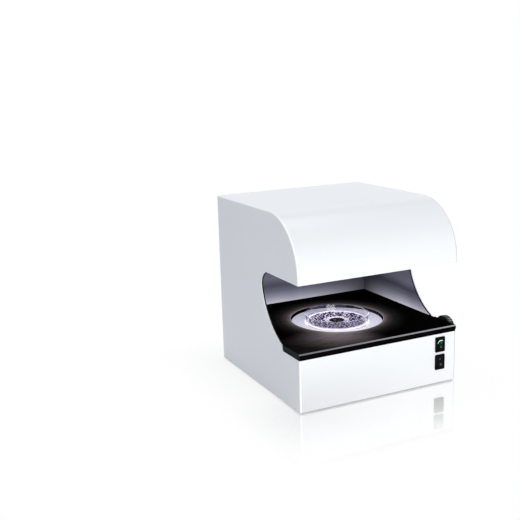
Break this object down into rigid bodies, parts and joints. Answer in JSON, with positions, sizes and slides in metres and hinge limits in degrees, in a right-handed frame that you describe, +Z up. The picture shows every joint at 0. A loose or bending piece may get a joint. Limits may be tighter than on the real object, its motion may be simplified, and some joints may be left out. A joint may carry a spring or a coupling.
{
  "type": "colony counter",
  "caption": "C-shaped bench colony counter: camera hood over an open lit chamber, glowing plate disc in a black worktop, front rockers and a side light knob.",
  "frame": {"origin": "on the bench, under the middle of the instrument's box, knob and keys included", "axes": "+Z up, +X to the user's right, -Y towards the user at the front"},
  "size_m": [0.2486, 0.2493, 0.248],
  "materials": {
    "white_paint": "smooth satin powder coat",
    "rear_paint": "satin powder coat",
    "base_metal": "zinc-plated sheet",
    "black_worktop": "satin black laminate with a polished bevel",
    "grey_liner": "matt grey paint",
    "white_plastic": "moulded white",
    "lit_diffuser": "frosted opal acrylic, lit from below",
    "lamp_window": "frosted opal acrylic",
    "circuit_board": "solder-masked board",
    "clear_glass": "clear",
    "black_metal": "black anodised",
    "bare_aluminium": "bare",
    "bright_metal": "nickel plated",
    "black_plastic": "moulded black",
    "power_key": "glossy black with a green lens",
    "power_lens": "translucent green, lit",
    "light_key": "glossy black",
    "knob_plastic": "glossy dark green-black",
    "black_rubber": "matt",
    "frosted_ring": "frosted acrylic",
    "clear_dish": "clear polystyrene",
    "growth_medium": "wet gel",
    "colony": "wet, domed",
    "pale_mark": "pale moulded or printed mark",
    "lit_mark": "pale green mark, lit"
  },
  "bodies": {
    "housing": {"backlight_board": "circuit_board", "base_plate": "base_metal", "board_standoff_1": "bright_metal", "board_standoff_2": "bright_metal", "board_standoff_3": "bright_metal", "board_standoff_4": "bright_metal", "camera_body": "black_metal", "camera_bracket": "base_metal", "camera_window": "clear_glass", "chamber_back_wall": "grey_liner", "chamber_ceiling": "grey_liner", "chamber_liner_left": "grey_liner", "chamber_liner_right": "grey_liner", "control_board": "circuit_board", "control_bracket": "base_metal", "diffuser_disc": "lit_diffuser", "foot_front_left": "black_rubber", "foot_front_right": "black_rubber", "foot_rear_left": "black_rubber", "foot_rear_right": "black_rubber", "front_panel": "white_paint", "heat_sink": "bare_aluminium", "hood": "white_paint", "lens_barrel": "black_metal", "lens_focus_ring": "black_metal", "lens_glass": "clear_glass", "light_box": "white_plastic", "light_switch_body": "black_plastic", "potentiometer": "black_plastic", "power_inlet": "black_plastic", "power_switch_body": "black_plastic", "rear_panel": "rear_paint", "rear_sill": "white_paint", "side_panel_left": "white_paint", "side_panel_right": "white_paint", "top_led_strip_front": "circuit_board", "top_led_strip_rear": "circuit_board", "top_light_tray_front": "white_plastic", "top_light_tray_rear": "white_plastic", "top_light_window_front": "lamp_window", "top_light_window_rear": "lamp_window", "usb_socket": "bright_metal", "usb_tongue": "black_plastic", "worktop": "black_worktop", "worktop_base": "black_worktop", "worktop_rail_left": "base_metal", "worktop_rail_right": "base_metal"},
    "power_key": {"power_rocker": "power_key"},
    "light_key": {"light_rocker": "light_key"},
    "light_knob": {"knob": "knob_plastic", "knob_shaft": "bright_metal"},
    "ring": {"adapter_ring": "frosted_ring"},
    "plate": {"petri_dish": "clear_dish", "agar": "growth_medium"}
  },
  "joints": [
    {"name": "power_key_tilt", "type": "hinge", "parent": "housing", "child": "power_key", "pos_m": [0.08935, -0.11935, 0.056], "axis": [1, 0, 0], "range_deg": [0, 20]},
    {"name": "light_key_tilt", "type": "hinge", "parent": "housing", "child": "light_key", "pos_m": [0.08935, -0.11935, 0.0312], "axis": [1, 0, 0], "range_deg": [0, 20]},
    {"name": "knob_turn", "type": "hinge", "parent": "housing", "child": "light_knob", "pos_m": [0.11625, -0.09215, 0.067], "axis": [1, 0, 0], "range_deg": [-135, 135]},
    {"name": "ring_lift", "type": "slide", "parent": "housing", "child": "ring", "axis": [0, 0, 1], "range_m": [0, 0.06]},
    {"name": "plate_lift", "type": "slide", "parent": "housing", "child": "plate", "axis": [0, 0, 1], "range_m": [0, 0.06]}
  ]
}
